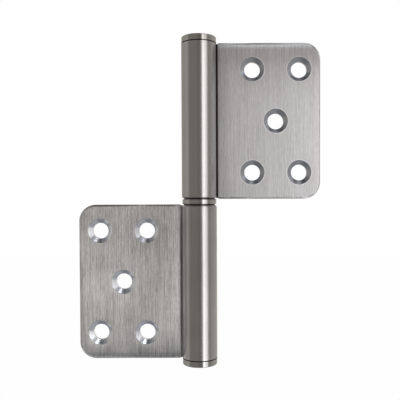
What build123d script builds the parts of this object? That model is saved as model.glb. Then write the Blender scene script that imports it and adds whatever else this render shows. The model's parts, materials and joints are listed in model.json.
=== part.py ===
# Lift-off flag hinge: two leaves with rolled knuckles on one pin, shown open flat.
# Millimetres. Z runs along the pin, and the origin is on its axis, halfway between the two knuckles.
# The upper leaf reaches towards +X, the lower one towards -X, and their screwed faces look towards -Y.
import os
from math import asin, cos, degrees, radians, sin, tan

from build123d import *

os.makedirs("parts", exist_ok=True)

# Leaf sheet
sheet_thickness = 2.5
leaf_height = 48.7
leaf_reach = 38.0  # from the pin axis to the leaf's free edge
leaf_setback = -0.5  # screwed face behind the pin axis, so here it stands a little before it
corner_radius = 5.2
front_edge_round = 0.7  # roll-over of the stamped side
back_edge_chamfer = 0.25

# Rolled knuckle
knuckle_bore = 6.0
swage_angle = 42.0  # slope of the sheet where it steps back from the leaf to the roll
swage_inside_radius = 0.3
seam_gap = 0.55  # how far the end of the roll stands before the leaf
roll_foot_trim = 0.25  # the roll is faced back from the leaf's edge beside the washer
roll_crown_trim = 0.35  # and at its other end, under the cap
knuckle_foot_chamfer = 0.35
knuckle_crown_chamfer = 0.12

# Screw holes: four in a rectangle and one in its middle
hole_diameter = 5.0
countersink_diameter = 7.6
countersink_angle = 90.0
hole_column_spacing = 14.7
hole_side_margin = 6.6  # from the leaf's free edge to the nearer column of holes
hole_end_margin = 8.25  # from the leaf's top or bottom edge to the nearer row of holes

# Washer between the knuckles
washer_thickness = 2.2
washer_inset = 0.15  # washer rim inside the knuckles' outside
washer_clearance = 0.15  # round the pin
washer_land = 1.8  # width of the ring that bears on the knuckles
washer_relief = 0.3  # depth of the groove outside that ring, on each face
washer_chamfer = 0.2

# Pin
running_clearance = 0.05  # round the pin in the knuckle that turns
press_clearance = 0.01  # round the pin and the cap spigots where they are driven in
pin_end_gap = 3.0  # between the pin's tip and the upper cap
pin_tip_chamfer = 0.8

# Caps
cap_thickness = 2.0
cap_inset = 0.05  # cap rim inside the knuckle's outside
cap_rim_chamfer = 0.15
cap_relief = 0.2  # height of the groove between the cap's rim and the knuckle
cap_relief_depth = 0.35
spigot_length = 6.0
spigot_tip_chamfer = 0.5

# Sizes that follow from those above
bore_radius = knuckle_bore / 2
knuckle_radius = bore_radius + sheet_thickness
roll_radius = bore_radius + sheet_thickness / 2
blade_middle = leaf_setback + sheet_thickness / 2
bend_radius = swage_inside_radius + sheet_thickness / 2
swage = radians(swage_angle)
ramp_start_x = roll_radius * sin(swage)
ramp_start_y = roll_radius * cos(swage)
ramp_end_y = blade_middle + bend_radius * (1 - cos(swage))
ramp_end_x = ramp_start_x + (ramp_start_y - ramp_end_y) / tan(swage)
bend_start_x = ramp_end_x + bend_radius * sin(swage)
roll_end_angle = degrees(asin((leaf_setback - seam_gap) / knuckle_radius))
roll_sweep = 270 + swage_angle + roll_end_angle

knuckle_bottom = washer_thickness / 2
knuckle_height = leaf_height - roll_foot_trim - roll_crown_trim
knuckle_top = knuckle_bottom + knuckle_height
leaf_bottom = knuckle_bottom - roll_foot_trim
leaf_middle = leaf_bottom + leaf_height / 2
hole_row_spacing = leaf_height - 2 * hole_end_margin
hole_middle_x = leaf_reach - hole_side_margin - hole_column_spacing / 2

pin_radius = bore_radius - running_clearance
pressed_radius = bore_radius - press_clearance
pin_foot = -(knuckle_top - spigot_length)
pin_tip = knuckle_top - spigot_length - pin_end_gap
cap_radius = knuckle_radius - cap_inset
washer_radius = knuckle_radius - washer_inset
washer_hole_radius = pin_radius + washer_clearance

screwed_face = Plane(
    origin=(hole_middle_x, leaf_setback, leaf_middle),
    x_dir=(1, 0, 0),
    z_dir=(0, -1, 0),
)
turned_over = (0, 180, 0)

# Upper leaf: the stamped leaf first, and then its sheet, which bends back beside the barrel, rolls round
# behind the pin and over the front, and ends just before the leaf, where an open seam is left.
with BuildPart() as upper_leaf:
    with BuildSketch(Plane.XY.offset(leaf_bottom)):
        with Locations(((bend_start_x + leaf_reach) / 2, blade_middle)):
            Rectangle(leaf_reach - bend_start_x, sheet_thickness)
    extrude(amount=leaf_height)
    fillet(upper_leaf.edges().filter_by(Axis.Y).group_by(Axis.X)[-1], corner_radius)
    free_edges = upper_leaf.edges().filter_by(Axis.Z).group_by(Axis.X)[-1].sort_by(Axis.Y)
    fillet(free_edges[0], front_edge_round)
    free_edges = upper_leaf.edges().filter_by(Axis.Z).group_by(Axis.X)[-1].sort_by(Axis.Y)
    chamfer(free_edges[-1], back_edge_chamfer)
    with BuildSketch(Plane.XY.offset(knuckle_bottom)):
        with BuildLine():
            bend = JernArc((bend_start_x, blade_middle), (-1, 0), bend_radius, -swage_angle)
            Line(bend @ 1, (ramp_start_x, ramp_start_y))
            CenterArc((0, 0), roll_radius, 90 - swage_angle, roll_sweep)
        trace(line_width=sheet_thickness)
    extrude(amount=knuckle_height)
    with BuildSketch(Plane.XZ):
        for end, slope, size in (
            (knuckle_top, -1, knuckle_crown_chamfer),
            (knuckle_bottom, 1, knuckle_foot_chamfer),
        ):
            with BuildLine():
                Polyline(
                    (knuckle_radius - size, end),
                    (knuckle_radius + size, end),
                    (knuckle_radius + size, end + slope * 2 * size),
                    close=True,
                )
            make_face()
    revolve(axis=Axis.Z, mode=Mode.SUBTRACT)
    with Locations(screwed_face):
        with GridLocations(hole_column_spacing, hole_row_spacing, 2, 2):
            CounterSinkHole(hole_diameter / 2, countersink_diameter / 2, counter_sink_angle=countersink_angle)
        CounterSinkHole(hole_diameter / 2, countersink_diameter / 2, counter_sink_angle=countersink_angle)

# Lower leaf: the same leaf turned over about the line of sight.
with BuildPart() as lower_leaf:
    add(upper_leaf.part, rotation=turned_over)

# Washer: a ring, loose on the pin, that carries the upper knuckle on a land and stands off it at the rim.
with BuildPart() as thrust_washer:
    with BuildSketch(Plane.XY.offset(washer_relief - washer_thickness / 2)):
        Circle(washer_radius)
    extrude(amount=washer_thickness - 2 * washer_relief)
    chamfer(thrust_washer.edges().filter_by(GeomType.CIRCLE), washer_chamfer)
    with BuildSketch(Plane.XY.offset(-washer_thickness / 2)):
        Circle(washer_hole_radius + washer_land)
    extrude(amount=washer_thickness)
    Hole(washer_hole_radius)

# Pin: driven into the lower knuckle, a running fit above it, with a lead-in at its tip.
with BuildPart() as hinge_pin:
    with BuildSketch(Plane.XY.offset(pin_foot)):
        Circle(pressed_radius)
    extrude(amount=-knuckle_bottom - pin_foot)
    with BuildSketch(Plane.XY.offset(-knuckle_bottom)):
        Circle(pin_radius)
    extrude(amount=pin_tip + knuckle_bottom)
    chamfer(hinge_pin.faces().sort_by(Axis.Z)[-1].edges(), pin_tip_chamfer)

# Top cap: a turned plug that seats on the knuckle's end inside a groove, its spigot driven into the bore.
with BuildPart() as top_cap:
    with BuildSketch(Plane.XY.offset(knuckle_top + cap_relief)):
        Circle(cap_radius)
    extrude(amount=cap_thickness - cap_relief)
    chamfer(top_cap.faces().sort_by(Axis.Z)[-1].edges(), cap_rim_chamfer)
    with BuildSketch(Plane.XY.offset(knuckle_top)):
        Circle(cap_radius - cap_relief_depth)
    extrude(amount=cap_relief)
    with BuildSketch(Plane.XY.offset(knuckle_top)):
        Circle(pressed_radius)
    extrude(amount=-spigot_length)
    chamfer(top_cap.faces().sort_by(Axis.Z)[0].edges(), spigot_tip_chamfer)

# Bottom cap: the same plug turned over.
with BuildPart() as bottom_cap:
    add(top_cap.part, rotation=turned_over)

upper_leaf.part.label = "upper_leaf"
export_step(upper_leaf.part, "parts/upper_leaf.step")
lower_leaf.part.label = "lower_leaf"
export_step(lower_leaf.part, "parts/lower_leaf.step")
thrust_washer.part.label = "thrust_washer"
export_step(thrust_washer.part, "parts/thrust_washer.step")
hinge_pin.part.label = "hinge_pin"
export_step(hinge_pin.part, "parts/hinge_pin.step")
top_cap.part.label = "top_cap"
export_step(top_cap.part, "parts/top_cap.step")
bottom_cap.part.label = "bottom_cap"
export_step(bottom_cap.part, "parts/bottom_cap.step")
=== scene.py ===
import json
from math import cos, pi, radians, sin
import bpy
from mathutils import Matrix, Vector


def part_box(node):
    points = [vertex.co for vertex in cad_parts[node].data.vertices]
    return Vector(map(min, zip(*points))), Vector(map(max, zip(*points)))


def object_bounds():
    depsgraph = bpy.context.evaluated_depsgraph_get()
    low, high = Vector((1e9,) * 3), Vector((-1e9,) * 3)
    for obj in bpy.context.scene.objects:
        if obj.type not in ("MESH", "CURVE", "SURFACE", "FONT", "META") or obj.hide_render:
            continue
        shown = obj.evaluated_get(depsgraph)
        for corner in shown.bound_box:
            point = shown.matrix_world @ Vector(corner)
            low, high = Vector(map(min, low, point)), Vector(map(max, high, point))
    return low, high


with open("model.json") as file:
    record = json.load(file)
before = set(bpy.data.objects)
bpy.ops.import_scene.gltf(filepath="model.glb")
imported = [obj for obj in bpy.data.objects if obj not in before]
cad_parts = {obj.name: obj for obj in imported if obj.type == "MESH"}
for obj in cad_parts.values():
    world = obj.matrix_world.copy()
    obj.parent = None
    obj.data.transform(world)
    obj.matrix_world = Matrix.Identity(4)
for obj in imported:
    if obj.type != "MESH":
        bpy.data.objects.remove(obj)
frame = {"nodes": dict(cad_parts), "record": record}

from types import SimpleNamespace

import bpy
from bpy.props import FloatProperty, FloatVectorProperty, PointerProperty
from mathutils import Matrix

bl_info = {
    "name": "Flag hinge finish",
    "version": (1, 0, 0),
    "blender": (4, 5, 0),
    "location": "View3D > Sidebar > Hinge",
    "description": "Brushed and turned steel for a lift-off flag hinge, and the studio that shows it",
    "category": "Material",
}

# Sizes of the solids, in metres
MOUNTS = {mount["name"]: mount for mount in frame["record"]["mounts"]}
SCREWS = MOUNTS["upper_screws"]
CAD_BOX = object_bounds()
KNUCKLE_RADIUS = -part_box("upper_leaf")[0].x
KNUCKLE_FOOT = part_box("thrust_washer")[1].z
LEAF_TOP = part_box("upper_leaf")[1].z
LEAF_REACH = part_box("upper_leaf")[1].x
LEAF_BACK = MOUNTS["upper_back"]["pos_m"][1]
WASHER_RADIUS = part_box("thrust_washer")[1].x
FOOT_TRIM = 0.00025  # the roll is faced back from the leaf's edge beside the washer
CROWN_TRIM = 0.00035  # and at its other end, under the cap
LEAF_FOOT = KNUCKLE_FOOT - FOOT_TRIM
KNUCKLE_TOP = LEAF_TOP - CROWN_TRIM
SINK_WIDTH = 0.0013  # from a hole's edge to the edge of its countersink
SINK_RADIUS = SCREWS["dims"]["hole_r_mm"] / 1000 + SINK_WIDTH
CAP_GROOVE = 0.0002
END_RIM = 0.0002  # bright edge left unpainted round the end of a knuckle, whose face is painted dark: painted shade with grease
HAIR = 0.00001  # the soft edge of a sharp mask

# The uneven surface of the stamped leaves, in metres
BOW_REACH = 0.025
CURL_REACH = 0.008
EDGE_REACH = 0.0022
FOOT_REACH = 0.0007
SHOULDER_START = 0.0006
SHOULDER_REACH = 0.004
DIMPLE_REACH = 0.0016
SAG_MIDDLE = 0.022
TWIST_END = 0.036

# Dark colour painted in the joints, painted shade with grease, and tint of the tent's cards
SHADE_AND_GREASE = (0.025, 0.022, 0.019, 1.0)
WARM_CARD = (1.048, 0.994, 0.904)

# The tent and the lamps, in metres
TENT_RADIUS = 0.8
TENT_HEIGHT = 0.98
TENT_MIDDLE = 0.11
LAMP_AWAY = 0.6
LAMP_HEIGHT = -0.026
LAMP_FACE = (0.165, 0.5)
FAR_LAMP_SHARE = 0.58  # its brightness beside the nearer lamp's


class HingeFinish(bpy.types.PropertyGroup):
    """Colours and surface sizes of the steel."""

    upper_colour: FloatVectorProperty(
        name="Upper sheet", description="Colour of the upper leaf's brushed sheet",
        subtype="COLOR", size=4, default=(0.661, 0.656, 0.685, 1), min=0, max=1)
    lower_colour: FloatVectorProperty(
        name="Lower sheet", description="Colour of the lower leaf's brushed sheet",
        subtype="COLOR", size=4, default=(0.683, 0.677, 0.688, 1), min=0, max=1)
    # The knuckles are painted darker than the leaves' sheet: painted shade
    barrel_colour: FloatVectorProperty(
        name="Knuckles", description="Colour of the polished knuckles",
        subtype="COLOR", size=4, default=(0.402, 0.4, 0.402, 1), min=0, max=1)
    turned_colour: FloatVectorProperty(
        name="Turned steel", description="Colour of the washer and the caps",
        subtype="COLOR", size=4, default=(0.396, 0.394, 0.393, 1), min=0, max=1)
    sink_colour: FloatVectorProperty(
        name="Countersinks", description="Colour of the bare cut metal in the countersinks",
        subtype="COLOR", size=4, default=(0.452, 0.467, 0.505, 1), min=0, max=1)
    pin_colour: FloatVectorProperty(
        name="Pin", description="Colour of the ground pin",
        subtype="COLOR", size=4, default=(0.45, 0.45, 0.45, 1), min=0, max=1)
    leaf_roughness: FloatProperty(
        name="Leaf roughness", description="Roughness of the brushed leaves",
        subtype="FACTOR", default=0.42, min=0, max=1)
    barrel_roughness: FloatProperty(
        name="Barrel roughness", description="Roughness of the polished knuckles",
        subtype="FACTOR", default=0.15, min=0, max=1)
    line_spacing: FloatProperty(
        name="Line spacing", description="Distance between brush lines",
        unit="LENGTH", default=0.00014, min=0.00001)
    line_length: FloatProperty(
        name="Line length", description="Length of a brush line",
        unit="LENGTH", default=0.012, min=0.0001)
    line_depth: FloatProperty(
        name="Line depth", description="Depth of the brush lines",
        unit="LENGTH", default=0.000004, min=0)


class HingeStage(bpy.types.PropertyGroup):
    """The camera, the lamps and the floor."""

    camera_distance: FloatProperty(
        name="Camera distance", description="From the pin's axis to the camera",
        unit="LENGTH", default=0.18, min=0.1)
    camera_side: FloatProperty(
        name="Camera to the side", description="How far the camera stands towards the upper leaf",
        unit="LENGTH", default=0.00695)
    camera_height: FloatProperty(
        name="Camera height", description="Height of the camera above the washer",
        unit="LENGTH", default=0.00077)
    camera_lens: FloatProperty(
        name="Lens", description="Focal length on a sensor 36 mm wide",
        subtype="DISTANCE_CAMERA", default=51.42, min=10)
    lamp_level: FloatProperty(
        name="Lamp level", description="Brightness of the nearer lamp's face, where 1 is white",
        default=2.05, min=0)
    floor_drop: FloatProperty(
        name="Floor drop", description="How far the floor lies below the hinge",
        unit="LENGTH", default=0.35, min=0)


class Wire:
    """A shader socket. Arithmetic on it adds Math nodes, and node() adds any other node."""

    def __init__(self, tree, socket=None):
        self.tree = tree
        self.socket = socket

    def node(self, kind, settings=None, sockets=None, give=0):
        """Adds a node, sets it up, fills or links its inputs, and gives one of its outputs."""
        made = self.tree.nodes.new(kind)
        for name, setting in (settings or {}).items():
            if name == "stops":
                for place, _ in setting[2:]:
                    made.color_ramp.elements.new(place)
                for stop, (place, colour) in zip(made.color_ramp.elements, sorted(setting)):
                    stop.position = place
                    stop.color = colour
            else:
                setattr(made, name, setting)
        for name, value in (sockets or {}).items():
            if isinstance(value, Wire):
                self.tree.links.new(value.socket, made.inputs[name])
            else:
                made.inputs[name].default_value = value
        return Wire(self.tree, made.outputs[give])

    def out(self, name):
        """Another output of the same node."""
        return Wire(self.tree, self.socket.node.outputs[name])

    def math(self, operation, *values):
        return self.node("ShaderNodeMath", {"operation": operation}, dict(enumerate(values)))

    def __add__(self, other):
        return self.math("ADD", self, other)

    __radd__ = __add__

    def __sub__(self, other):
        return self.math("SUBTRACT", self, other)

    def __rsub__(self, other):
        return self.math("SUBTRACT", other, self)

    def __mul__(self, other):
        return self.math("MULTIPLY", self, other)

    __rmul__ = __mul__

    def __truediv__(self, other):
        return self.math("DIVIDE", self, other)

    def __abs__(self):
        return self.math("ABSOLUTE", self)

    def least(self, other):
        return self.math("MINIMUM", self, other)

    def most(self, other):
        return self.math("MAXIMUM", self, other)

    def hypot(self, other):
        """The length of two numbers at right angles."""
        return self.math("SQRT", self * self + other * other)

    def within(self, inner, outer):
        """1 below inner, 0 above outer, and smooth between them."""
        return self.node(
            "ShaderNodeMapRange", {"interpolation_type": "SMOOTHSTEP"},
            {"Value": self, "From Min": inner, "From Max": outer, "To Min": 1.0, "To Max": 0.0})

    def fade(self, reach):
        """1 at zero, falling in a straight line to 0 at reach, and 0 from there on."""
        return (1 - self / reach).most(0.0)

    def between(self, first, second):
        """A number between two, this being the share of the second."""
        return first + (second - first) * self

    def blend(self, first, second):
        """A colour between two, this being the share of the second."""
        return self.node(
            "ShaderNodeMix", {"data_type": "RGBA"}, {0: self, 6: first, 7: second}, give=2)

    def tint(self, colour, part):
        """A colour that is darker by a part at 0 and lighter by it at 1."""
        return self.blend(shade(colour, 1 - part), shade(colour, 1 + part))

    def stretched(self, x, y, z):
        """This vector with each of its numbers multiplied."""
        return self.node("ShaderNodeVectorMath", {"operation": "MULTIPLY"}, {0: self, 1: (x, y, z)})

    def noise(self, detail=2.0, roughness=0.55, seed=0.0):
        """Noise that is read at this vector, from about -1 to 1."""
        speckle = self.node(
            "ShaderNodeTexNoise", {"noise_dimensions": "4D"},
            {"Vector": self, "W": seed, "Scale": 1.0, "Detail": detail, "Roughness": roughness})
        return (speckle - 0.5) * 2.0


def shade(colour, factor):
    """A colour made lighter or darker."""
    return tuple(min(part * factor, 1.0) for part in colour[:3]) + (1.0,)


def grey(level):
    """A plain grey, where 1 is white."""
    return (level, level, level, 1.0)


def numbers(place):
    """The three numbers of a vector."""
    axes = place.node("ShaderNodeSeparateXYZ", None, {"Vector": place})
    return [axes.out(name) for name in "XYZ"]


def new_metal(name, anisotropy):
    """A metal with no colour or roughness yet, and a wire at the object's own coordinates."""
    material = bpy.data.materials.new(name)
    material.use_nodes = True
    tree = material.node_tree
    metal = tree.nodes["Principled BSDF"]
    metal.inputs["Metallic"].default_value = 1.0
    metal.inputs["Anisotropic"].default_value = anisotropy
    place = Wire(tree).node("ShaderNodeTexCoord", give="Object")
    return material, metal, place


def finish_metal(metal, colour, roughness, height, depth):
    """Links the colour, the roughness and the surface's relief to the metal, and gives the relief."""
    tree = height.tree
    relief = height.node("ShaderNodeBump", None, {"Strength": 1.0, "Distance": depth, "Height": height})
    tree.links.new(colour.socket, metal.inputs["Base Color"])
    tree.links.new(roughness.socket, metal.inputs["Roughness"])
    tree.links.new(relief.socket, metal.inputs["Normal"])
    return relief


def leaf_places(place):
    """Distances on a leaf, and masks that are 1 on one part of it and 0 elsewhere."""
    x, y, z = numbers(place)
    lower = z.within(-0.0005, 0.0005)
    to_leaf = x * z.math("SIGN", z)  # from the pin's axis towards this leaf's own side
    barrel = abs(x).within(KNUCKLE_RADIUS, KNUCKLE_RADIUS + 0.0005)

    # The countersinks, and a painted highlight round their edges
    middle_x, _, middle_z = SCREWS["pos_m"]
    across = abs(abs(x) - middle_x)
    along = abs(abs(z) - middle_z)
    to_corner = (across - SCREWS["dims"]["spacing_x_mm"] / 2000).hypot(
        along - SCREWS["dims"]["spacing_y_mm"] / 2000)
    to_hole = across.hypot(along).least(to_corner)
    front = y.within(LEAF_BACK - 10 * HAIR, LEAF_BACK - 5 * HAIR)
    cut = to_hole.within(SINK_RADIUS - 5 * HAIR, SINK_RADIUS + 5 * HAIR) * front
    rim = abs(to_hole - SINK_RADIUS - 0.00012).within(0.0, 0.0002) * front

    # The open seam beside the barrel, painted dark as painted shade with grease, narrower and paler on the
    # lower leaf, and the dull steel behind it, which also keeps the lighter sheet colour as a painted lighter
    # sheen
    seam_middle = KNUCKLE_RADIUS + 0.0002 + lower * 0.0001
    seam_half = 0.0002 - lower * 0.00014
    seam = abs(to_leaf - seam_middle).within(seam_half, seam_half + 0.0001)
    seam = seam * abs(y).within(0.001, 0.00104) * (1 - lower * 0.4)
    gap = abs(abs(x) - KNUCKLE_RADIUS - 0.0002).within(0.0005, 0.0006)
    gap = gap * (1 - y.within(-0.00106, -0.00102)) * lower

    # The knuckles' end faces, beside the washer and under the cap, painted dark: painted shade with grease
    ends = abs(z).within(KNUCKLE_FOOT + HAIR, KNUCKLE_FOOT + 2 * HAIR)
    ends = ends + 1 - abs(z).within(KNUCKLE_TOP - 2 * HAIR, KNUCKLE_TOP - HAIR)
    inside = x.hypot(y).within(KNUCKLE_RADIUS - END_RIM, KNUCKLE_RADIUS - END_RIM + HAIR)
    shade_and_grease = seam.most(ends * inside)
    return SimpleNamespace(
        x=x, y=y, z=z, lower=lower, to_leaf=to_leaf, barrel=barrel, to_hole=to_hole, front=front, cut=cut,
        rim=rim, gap=gap, shade_and_grease=shade_and_grease)


def brush_marks(finish, place, at):
    """The brush lines, finer specks, broad clouds and the cutter's rings in the countersinks."""
    wide = 1 / finish.line_spacing
    long = 1 / finish.line_length
    lines = place.stretched(wide, wide, long).noise(1.0)
    flecks = place.stretched(wide * 1.1, wide * 1.1, long * 5).noise(1.0)
    rings = place.node("ShaderNodeCombineXYZ", None, {"X": at.to_hole * 6000, "Y": at.y * 6000})
    return SimpleNamespace(
        streak=(lines * 0.6 + flecks * 0.55) * (0.55 + at.lower * 0.57),
        specks=place.stretched(4500, 4500, 3500).noise(1.0),
        clouds=place.stretched(70, 70, 55).noise(2.0, seed=4.3),
        turning=rings.noise(2.0))


def sheet_colour(finish, at, marks):
    """Brushed sheet, the knuckle painted darker than it (painted shade), bare metal in the countersinks,
    painted lighter on the lower leaf (painted light), a painted highlight round them, and painted shade with
    grease in the joints.
    """
    brushed = marks.streak * 1.15 + marks.specks * (0.12 + at.lower * 0.25)
    tone = 0.5 + brushed * (1 - at.barrel * 0.85) + marks.clouds * (0.13 + at.lower * 0.42)
    steel = at.lower.blend(tone.tint(finish.upper_colour, 0.45), tone.tint(finish.lower_colour, 0.45))
    # Painted shade: the knuckle is painted darker than the sheet it is rolled from. On the lower knuckle, its
    # side next to the leaf and the gap behind the seam keep the lighter sheet colour, a painted lighter sheen.
    knuckle_shade = at.barrel * (1 - at.gap) * (1 - at.lower * (1 - at.to_leaf.within(0.004, 0.005)))
    steel = knuckle_shade.blend(steel, tone.tint(finish.barrel_colour, 0.3))
    # Bare cut metal, painted lighter in the lower leaf's countersinks: painted light
    bare = (0.25 + at.lower * 0.65 + marks.turning * 0.15).blend(
        shade(finish.sink_colour, 0.9), shade(finish.sink_colour, 1.75))
    colour = at.cut.blend(steel, bare)
    # A painted highlight round each countersink, fainter on the lower leaf
    bright = at.rim * (0.9 - at.lower * 0.6)
    colour = bright.blend(colour, shade(finish.upper_colour, 1.45))
    # Painted shade with grease: the seams and the knuckles' end faces painted near black
    return at.shade_and_grease.blend(colour, SHADE_AND_GREASE)


def sheet_roughness(finish, at, marks):
    """Satin on the leaf, smoother on the knuckle, dull behind the seam and even in the countersinks."""
    flat = finish.leaf_roughness + marks.streak * 0.05 + marks.clouds * 0.02
    rolled = finish.barrel_roughness + marks.streak * 0.02
    sheet = at.gap.between(at.barrel.between(flat, rolled), 0.85)
    return at.cut.between(sheet, 0.3 - at.lower * 0.02 + marks.turning * 0.05)


def sheet_height(at, marks):
    """The relief, in depths of a brush line: the lines, the countersinks' cones, and the slight bow, twist and
    turned edges of a stamped sheet."""
    to_end = LEAF_TOP - abs(at.z)
    to_edge = to_end.least(LEAF_REACH - abs(at.x))
    bow = to_end.fade(BOW_REACH)
    curl = to_end.fade(CURL_REACH)
    edge = to_edge.fade(EDGE_REACH)
    foot = (abs(at.z) - LEAF_FOOT).fade(FOOT_REACH) * (1 - at.lower)
    shoulder = (abs(at.x) - KNUCKLE_RADIUS - SHOULDER_START).fade(SHOULDER_REACH)
    dimple = (at.to_hole - SINK_RADIUS).fade(DIMPLE_REACH)
    across = abs(at.x) - SAG_MIDDLE
    twist = across * abs(at.z).within(KNUCKLE_FOOT, TWIST_END) * at.lower

    drop = bow * bow * (190 - at.lower * 110) + curl * curl * 90 + edge * edge * 45
    drop = drop + shoulder * shoulder * 120 - foot * foot * 150
    drop = drop + across * across * (600000 - at.lower * 1200000) + twist * 24000
    drop = drop + dimple * dimple * at.front * (3 + at.lower * 9)
    lines = marks.streak * (1 - at.barrel * 0.85) - drop * (1 - at.barrel)
    cone = (at.to_hole - SINK_RADIUS) * (35000 + at.lower * 20000)
    return lines * (1 - at.cut) + (marks.turning * 0.15 - cone) * at.cut


def brushed_sheet(finish):
    """Sheet brushed along the pin, polished on the knuckle and cut bright in the countersinks."""
    material, metal, place = new_metal("brushed_sheet", 0.9)
    at = leaf_places(place)
    marks = brush_marks(finish, place, at)
    colour = sheet_colour(finish, at, marks)
    roughness = sheet_roughness(finish, at, marks)
    relief = finish_metal(metal, colour, roughness, sheet_height(at, marks), finish.line_depth)

    # The countersinks are turned, so their gloss isn't drawn out across brush lines.
    bare_metal = place.node("ShaderNodeBsdfPrincipled", None, {
        "Metallic": 1.0, "Base Color": colour, "Roughness": roughness, "Normal": relief})
    shown = place.node(
        "ShaderNodeMixShader", None, {0: at.cut, 1: Wire(place.tree, metal.outputs[0]), 2: bare_metal})
    place.tree.links.new(shown.socket, place.tree.nodes["Material Output"].inputs["Surface"])
    return material


def turned_steel(name, base, roughness, fine, groove=None):
    """Steel turned in a lathe: rings round the pin on the flat faces, fine lines round the rim, and a groove
    painted dark, painted shade with grease, which is given as a function of the radius and the height."""
    material, metal, place = new_metal(name, 0.3)
    x, y, z = numbers(place)
    radius = x.hypot(y)
    rings = place.node("ShaderNodeCombineXYZ", None, {"X": radius * fine, "Y": z * fine}).noise(3.0, 0.6)
    clouds = place.stretched(300, 300, 300).noise(2.0)
    colour = (0.5 + rings * 0.4 + clouds * 0.1).tint(base, 0.12)
    if groove:
        # The groove is painted dark: painted shade with grease
        colour = groove(radius, abs(z)).blend(colour, SHADE_AND_GREASE)
    finish_metal(metal, colour, roughness + rings * 0.05 + clouds * 0.01, rings, 0.000003)
    return material


def give(node, material):
    """Puts a material in every slot of a CAD node."""
    for slot in frame["nodes"][node].material_slots:
        slot.material = material


class HINGE_OT_leaves(bpy.types.Operator):
    """Gives both leaves their brushed sheet, with polished knuckles and bright countersinks"""

    bl_idname = "hinge.leaves"
    bl_label = "Brush the leaves"

    def execute(self, context):
        sheet = brushed_sheet(context.scene.hinge_finish)
        give("upper_leaf", sheet)
        give("lower_leaf", sheet)
        return {"FINISHED"}


class HINGE_OT_caps(bpy.types.Operator):
    """Gives both caps their turned finish"""

    bl_idname = "hinge.caps"
    bl_label = "Turn the caps"

    def execute(self, context):
        groove_top = KNUCKLE_TOP + CAP_GROOVE
        steel = turned_steel(
            "turned_caps", context.scene.hinge_finish.turned_colour, 0.12, 5000,
            # the cap is painted dark below its groove's top: painted shade with grease
            lambda radius, height: height.within(groove_top + HAIR, groove_top + 2 * HAIR))
        give("top_cap", steel)
        give("bottom_cap", steel)
        return {"FINISHED"}


class HINGE_OT_washer(bpy.types.Operator):
    """Gives the washer between the knuckles its turned finish"""

    bl_idname = "hinge.washer"
    bl_label = "Turn the washer"

    def execute(self, context):
        give("thrust_washer", turned_steel(
            "turned_washer", context.scene.hinge_finish.turned_colour, 0.14, 7000,
            # the washer is painted dark inside its outer edge: painted shade with grease
            lambda radius, height: radius.within(WASHER_RADIUS - 0.0003, WASHER_RADIUS - 0.00015)))
        return {"FINISHED"}


class HINGE_OT_pin(bpy.types.Operator):
    """Gives the pin its ground finish"""

    bl_idname = "hinge.pin"
    bl_label = "Grind the pin"

    def execute(self, context):
        give("hinge_pin", turned_steel(
            "ground_pin", context.scene.hinge_finish.pin_colour, 0.2, 9000))
        return {"FINISHED"}


def seen_as_background(tree):
    """1 where the camera looks straight at a surface, or sees it in metal or through glass."""
    path = Wire(tree).node("ShaderNodeLightPath", give="Is Camera Ray")
    return path.most(path.out("Is Glossy Ray")).most(path.out("Is Transmission Ray"))


def white_world():
    """White behind the hinge and in its metal, and a plain level of light on everything else."""
    world = bpy.data.worlds.new("studio")
    bpy.context.scene.world = world
    world.use_nodes = True
    tree = world.node_tree
    level = seen_as_background(tree).blend(grey(0.75), grey(1.0))
    tree.links.new(level.socket, tree.nodes["Background"].inputs["Color"])


def pale_floor(drop):
    """A plain floor below the hinge, which stays white to the camera and still takes a soft shadow."""
    bpy.ops.mesh.primitive_plane_add(size=8, location=(0, 0, CAD_BOX[0].z - drop))
    floor = bpy.context.object
    floor.name = "floor"
    material = bpy.data.materials.new("pale_floor")
    material.use_nodes = True
    tree = material.node_tree
    paint = tree.nodes["Principled BSDF"]
    paint.inputs["Base Color"].default_value = grey(0.9)
    paint.inputs["Roughness"].default_value = 0.9
    seen = seen_as_background(tree)
    glow = seen.node("ShaderNodeEmission", None, {"Color": grey(1.0), "Strength": 1.0})
    shown = seen.node(
        "ShaderNodeMixShader", None, {0: seen * 0.97, 1: Wire(tree, paint.outputs[0]), 2: glow})
    tree.links.new(shown.socket, tree.nodes["Material Output"].inputs["Surface"])
    floor.data.materials.append(material)


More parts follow.
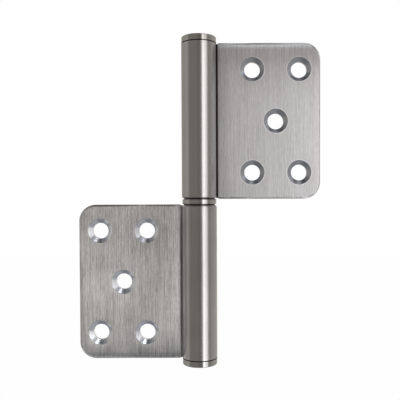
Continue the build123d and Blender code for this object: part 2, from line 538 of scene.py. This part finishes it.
def grey_tent():
    """A closed tent of warm grey cards round the hinge, with a window high on its right. Its lid has a dark and
    a pale strip and two white cards, and its dark bottom has a paler patch and a small card. Only the metal
    sees it."""
    bpy.ops.mesh.primitive_cylinder_add(
        vertices=96, radius=TENT_RADIUS, depth=TENT_HEIGHT, location=(0, 0, TENT_MIDDLE))
    tent = bpy.context.object
    tent.name = "tent"
    bpy.ops.object.shade_smooth()
    material = bpy.data.materials.new("grey_tent")
    material.use_nodes = True
    tree = material.node_tree
    place = Wire(tree).node("ShaderNodeTexCoord", give="Object")
    x, y, z = numbers(place)

    # The cards round the side: degrees to the right of the front, and brightness
    cards = [
        (-90, 0.6), (-77, 0.62), (-67, 0.33), (-12, 0.32), (-4, 0.25), (16, 0.24), (22, 0.6), (56, 0.66),
        (64, 0.4), (75, 0.37), (86, 0.54), (150, 0.66), (172, 0.75), (188, 0.49), (245, 0.5), (270, 0.59)]
    stops = [((angle + 90) / 360, shade(WARM_CARD, part)) for angle, part in cards]
    turn = place.node("ShaderNodeTexGradient", {"gradient_type": "RADIAL"}, {"Vector": place})
    level = turn.node("ShaderNodeValToRGB", {"stops": stops}, {"Fac": turn})
    window = (1 - z.within(0.26, 0.28)) * (1 - x.within(0.55, 0.6))
    level = window.blend(level, grey(1.2))

    dark_strip = abs(x + 0.15).within(0.08, 0.13)
    pale_strip = abs(x - 0.125).within(0.075, 0.11)
    side_card = (x - 0.62).hypot(y).within(0.14, 0.18)
    front_card = abs(x.hypot(y) - 0.58).within(0.15, 0.18) * y.within(-0.1, 0.0)
    front_card = front_card * abs(x - 0.115).within(0.065, 0.085)
    lid = dark_strip.blend(pale_strip.blend(grey(0.2), grey(0.7)), grey(0.03))
    lid = front_card.blend(side_card.blend(lid, grey(1.0)), grey(4.6))
    level = z.within(0.46, 0.48).blend(lid, level)

    patch = (1 - x.within(-0.06, 0.0)) * (1 - y.within(-0.3, -0.2))
    low_card = (x + 0.42).hypot(y).within(0.12, 0.16)
    bottom = low_card.blend(patch.blend(grey(0.22), grey(0.42)), grey(0.8))
    level = z.within(-0.48, -0.46).blend(level, bottom)

    glow = turn.node("ShaderNodeEmission", None, {"Color": level, "Strength": 1.0})
    tree.links.new(glow.socket, tree.nodes["Material Output"].inputs["Surface"])
    tent.data.materials.append(material)
    tent.visible_camera = False
    tent.visible_diffuse = False
    tent.visible_shadow = False


def soft_lamp(name, level, turn):
    """A soft lamp in front of the hinge, turned to the right of the camera by some degrees."""
    angle = radians(turn)
    width, height = LAMP_FACE
    bpy.ops.object.light_add(
        type="AREA", location=(LAMP_AWAY * sin(angle), -LAMP_AWAY * cos(angle), LAMP_HEIGHT))
    lamp = bpy.context.object
    lamp.name = name
    lamp.data.shape = "RECTANGLE"
    lamp.data.size = width
    lamp.data.size_y = height
    lamp.data.energy = level * width * height * pi
    lamp.rotation_euler = (radians(90), 0, angle)


def photo_camera(stage):
    """The camera, at the place from which the hinge was seen."""
    bpy.ops.object.camera_add()
    camera = bpy.context.object
    camera.name = "camera"
    camera.data.lens = stage.camera_lens
    camera.data.sensor_width = 36
    camera.data.shift_x = -0.0455
    camera.data.shift_y = 0.03475
    camera.data.clip_start = 0.01
    turn, tilt, roll = radians(0.334), radians(-1.479), radians(0.212)
    place = Matrix.Translation((stage.camera_side, -stage.camera_distance, stage.camera_height))
    aim = Matrix.Rotation(turn, 4, "Z") @ Matrix.Rotation(tilt, 4, "X")
    level = Matrix.Rotation(roll, 4, "Y") @ Matrix.Rotation(radians(90), 4, "X")
    camera.matrix_world = place @ aim @ level
    bpy.context.scene.camera = camera


class HINGE_OT_stage(bpy.types.Operator):
    """Sets up the floor, the tent, the lamps, the white background and the camera"""

    bl_idname = "hinge.stage"
    bl_label = "Set the stage"

    def execute(self, context):
        stage = context.scene.hinge_stage
        bpy.ops.object.select_all(action="DESELECT")
        context.scene.view_settings.view_transform = "Standard"
        white_world()
        pale_floor(stage.floor_drop)
        grey_tent()
        soft_lamp("near_lamp", stage.lamp_level, 30)
        soft_lamp("far_lamp", stage.lamp_level * FAR_LAMP_SHARE, 46)
        photo_camera(stage)
        return {"FINISHED"}


class HINGE_PT_finish(bpy.types.Panel):
    """Lists the hinge's finishes and its stage"""

    bl_idname = "HINGE_PT_finish"
    bl_label = "Flag hinge"
    bl_space_type = "VIEW_3D"
    bl_region_type = "UI"
    bl_category = "Hinge"

    def draw(self, context):
        for group in (context.scene.hinge_finish, context.scene.hinge_stage):
            column = self.layout.column(align=True)
            for name in group.__annotations__:
                column.prop(group, name)
        for operator in OPERATORS:
            self.layout.operator(operator.bl_idname)


OPERATORS = (HINGE_OT_leaves, HINGE_OT_caps, HINGE_OT_washer, HINGE_OT_pin, HINGE_OT_stage)
CLASSES = (HingeFinish, HingeStage) + OPERATORS + (HINGE_PT_finish,)


def register():
    for kind in CLASSES:
        bpy.utils.register_class(kind)
    bpy.types.Scene.hinge_finish = PointerProperty(type=HingeFinish)
    bpy.types.Scene.hinge_stage = PointerProperty(type=HingeStage)


def unregister():
    del bpy.types.Scene.hinge_stage
    del bpy.types.Scene.hinge_finish
    for kind in reversed(CLASSES):
        bpy.utils.unregister_class(kind)


def main():
    register()
    bpy.ops.hinge.leaves()
    bpy.ops.hinge.caps()
    bpy.ops.hinge.washer()
    bpy.ops.hinge.pin()
    bpy.ops.hinge.stage()


if __name__ == "__main__":
    main()
